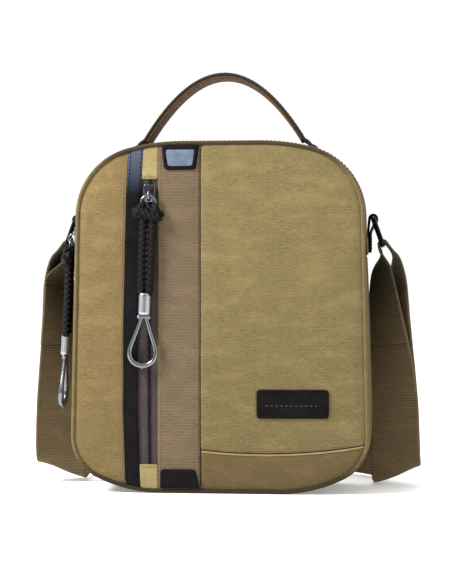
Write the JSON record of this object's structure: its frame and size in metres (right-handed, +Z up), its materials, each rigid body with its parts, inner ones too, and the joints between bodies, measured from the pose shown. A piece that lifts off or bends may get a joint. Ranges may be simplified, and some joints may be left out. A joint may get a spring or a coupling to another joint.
{
  "type": "messenger bag",
  "caption": "Upright canvas messenger bag with a front zip pocket beside a webbing band, a top zip, cord zip pulls, a carry handle and a webbing shoulder strap on side rings.",
  "frame": {"origin": "centre of the flat underside, on the surface the bag stands on", "axes": "+Z up, front panel faces -Y, +X to the viewer's right when facing the front"},
  "size_m": [0.2962, 0.1653, 0.314],
  "materials": {
    "canvas": "woven, matt",
    "canvas_left": "woven, matt",
    "gusset_canvas": "woven, matt",
    "leather": "soft sheen",
    "label": "soft sheen",
    "band_webbing": "ribbed webbing",
    "zip_tape": "woven tape",
    "zip_coil": "moulded coil",
    "piping": "woven, matt",
    "foam": "closed-cell foam",
    "lining": "smooth lining",
    "board": "stiff sheet",
    "handle_webbing": "ribbed webbing",
    "handle_lining": "ribbed webbing",
    "strap_webbing": "ribbed webbing",
    "black_metal": "satin black",
    "silver_metal": "polished nickel",
    "cord": "braided"
  },
  "bodies": {
    "bag": {"back_canvas": "canvas", "back_lining": "lining", "back_padding": "foam", "back_piping": "piping", "back_pocket_binding": "leather", "back_slip_pocket": "canvas", "base_board": "board", "front_canvas_left": "canvas_left", "front_canvas_lower": "canvas", "front_canvas_right": "canvas", "front_label": "label", "front_leather_strip": "leather", "front_lining": "lining", "front_padding": "foam", "front_patch_bottom": "leather", "front_patch_top": "leather", "front_piping": "piping", "front_pocket_pouch": "lining", "front_webbing_band": "band_webbing", "front_zip_bottom_tab": "canvas", "front_zip_coil": "zip_coil", "front_zip_tapes": "zip_tape", "front_zip_top_tab": "canvas", "gusset_lining": "lining", "gusset_lower": "gusset_canvas", "gusset_top_back": "gusset_canvas", "gusset_top_front": "gusset_canvas", "handle_feet": "handle_webbing", "inner_slip_pocket": "lining", "main_zip_coil": "zip_coil", "main_zip_end_covers": "gusset_canvas", "main_zip_tapes": "zip_tape", "ring_tab_left": "leather", "ring_tab_right": "leather", "strap_back_run": "strap_webbing", "strap_left_curl": "strap_webbing", "strap_left_leg": "strap_webbing", "strap_return_curl": "strap_webbing", "strap_return_leg": "strap_webbing", "strap_right_curl": "strap_webbing", "strap_right_leg": "strap_webbing"},
    "handle": {"handle_webbing": "handle_webbing", "handle_lining": "handle_lining"},
    "front_zip": {"front_slider": "silver_metal"},
    "front_pull": {"front_pull_ring": "silver_metal", "front_pull_cord": "cord", "front_pull_ferrule": "silver_metal", "front_pull_loop": "silver_metal"},
    "main_zip": {"main_slider": "silver_metal"},
    "main_pull": {"main_pull_ring": "silver_metal", "main_pull_cord": "cord", "main_pull_ferrule": "silver_metal", "main_pull_loop": "silver_metal"},
    "left_ring": {"strap_ring_left": "black_metal", "strap_loop_left": "strap_webbing"},
    "right_ring": {"strap_ring_right": "black_metal", "strap_loop_right": "strap_webbing"},
    "adjuster": {"strap_adjuster": "black_metal", "strap_sewn_end": "strap_webbing"}
  },
  "joints": [
    {"name": "front_zip_travel", "type": "slide", "parent": "bag", "child": "front_zip", "axis": [0, 0, -1], "range_m": [0, 0.18]},
    {"name": "front_pull_swing", "type": "hinge", "parent": "front_zip", "child": "front_pull", "pos_m": [-0.051, -0.0455, 0.2185], "axis": [-1, 0, 0], "range_deg": [0, 150]},
    {"name": "main_zip_travel", "type": "slide", "parent": "bag", "child": "main_zip", "axis": [0.0212, 0, 0.9998], "range_m": [0, 0.015]},
    {"name": "main_pull_swing", "type": "hinge", "parent": "main_zip", "child": "main_pull", "pos_m": [-0.11271, -0.022, 0.188], "axis": [0, 1, 0], "range_deg": [0, 140]},
    {"name": "left_ring_swing", "type": "hinge", "parent": "bag", "child": "left_ring", "pos_m": [-0.1125, 0.0135, 0.203], "axis": [0, 1, 0], "range_deg": [0, 75]},
    {"name": "right_ring_swing", "type": "hinge", "parent": "bag", "child": "right_ring", "pos_m": [0.1125, 0.0135, 0.203], "axis": [0, -1, 0], "range_deg": [0, 75]},
    {"name": "handle_fold", "type": "hinge", "parent": "bag", "child": "handle", "pos_m": [0, 0.012, 0.2572], "axis": [1, 0, 0], "range_deg": [-45, 45], "stiffness_Nm_per_rad": 0.03},
    {"name": "adjuster_slide", "type": "slide", "parent": "bag", "child": "adjuster", "axis": [-1, 0, 0], "range_m": [0, 0.05]}
  ]
}
